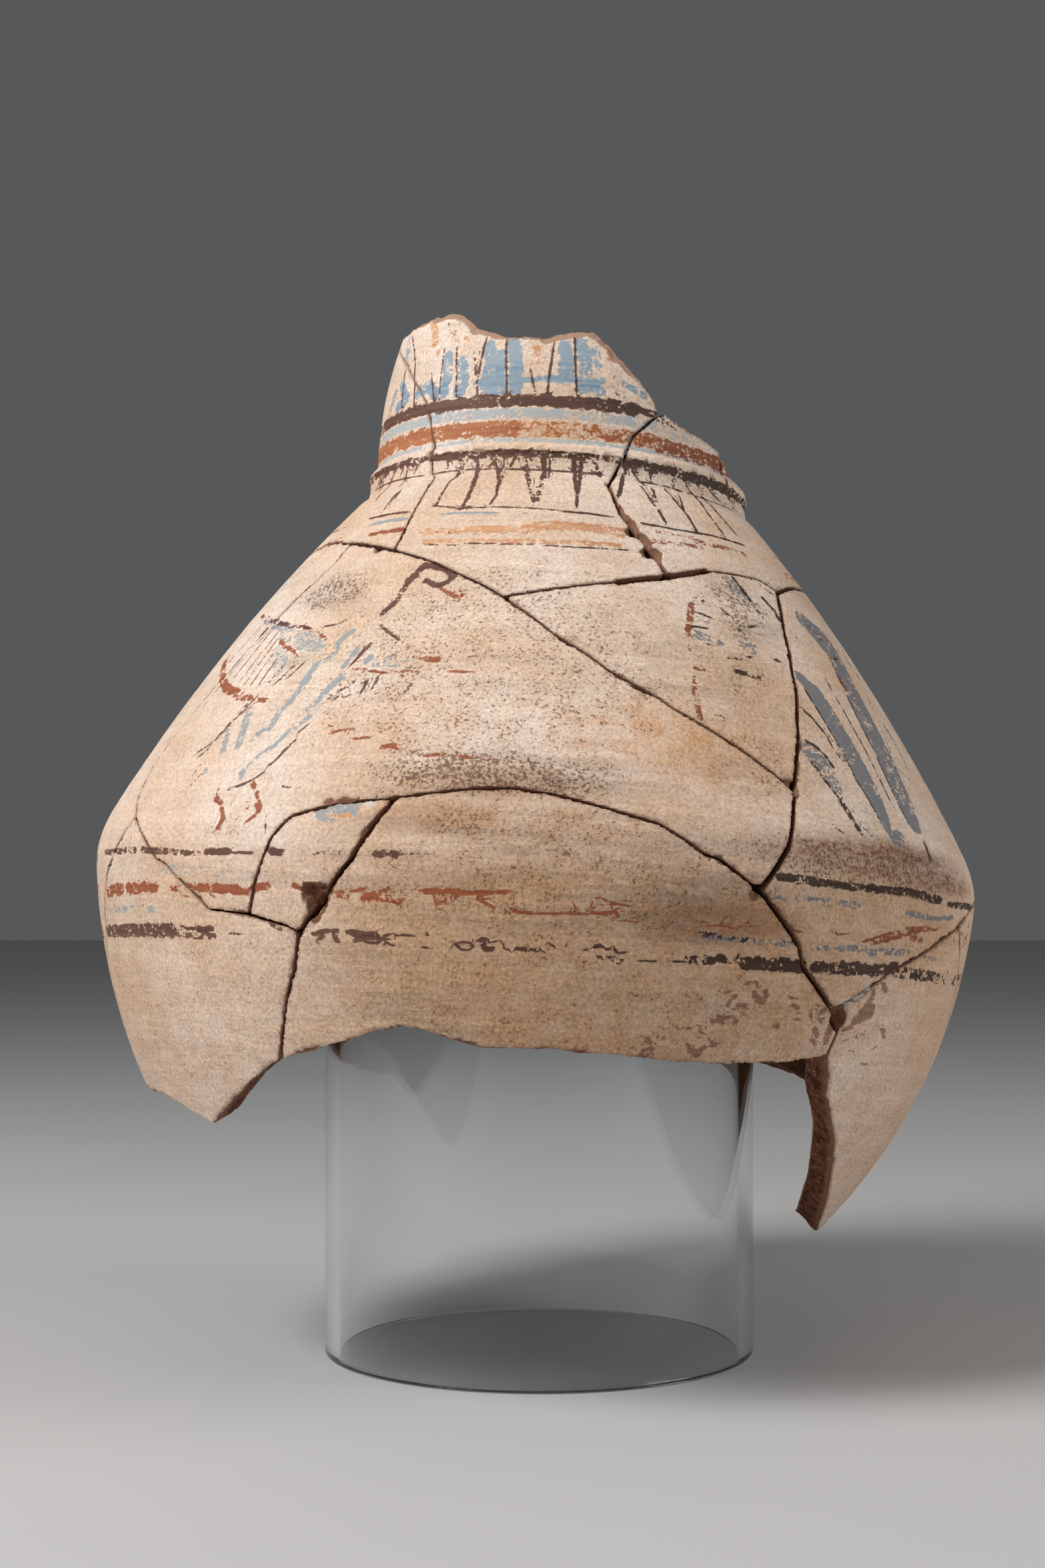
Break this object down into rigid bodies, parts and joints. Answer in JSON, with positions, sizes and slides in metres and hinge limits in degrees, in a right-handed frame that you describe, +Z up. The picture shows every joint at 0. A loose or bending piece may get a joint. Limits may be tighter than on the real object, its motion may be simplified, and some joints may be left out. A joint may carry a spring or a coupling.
{
  "type": "painted pottery jar",
  "caption": "Neck, shoulder and belly of a broken painted pottery jar, mended from sherds with open cracks, standing over an upright clear tube that carries its shoulder from inside.",
  "frame": {"origin": "middle of the clear tube's foot, on the table", "axes": "+Z up along the tube, -Y towards the viewer of the painted front, +X to the viewer's right"},
  "size_m": [0.3025, 0.3023, 0.3556],
  "materials": {
    "painted_pottery": "matt cream to buff slip with worn blue, red-brown and purple-brown paint, brown gritty clay in the breaks",
    "clear_plastic": "polished clear acrylic, see-through"
  },
  "bodies": {
    "root": {"clear_tube": "clear_plastic", "neck_left_sherd": "painted_pottery", "neck_front_sherd": "painted_pottery", "neck_right_sherd": "painted_pottery", "neck_back_sherd": "painted_pottery", "shoulder_left_sherd": "painted_pottery", "shoulder_front_sherd": "painted_pottery", "shoulder_right_sherd": "painted_pottery", "shoulder_far_left_sherd": "painted_pottery", "shoulder_back_sherd": "painted_pottery", "belly_small_sherd": "painted_pottery", "belly_front_sherd": "painted_pottery", "belly_left_sherd": "painted_pottery", "belly_right_sherd": "painted_pottery", "belly_right_back_sherd": "painted_pottery", "belly_back_sherd": "painted_pottery"}
  },
  "joints": []
}
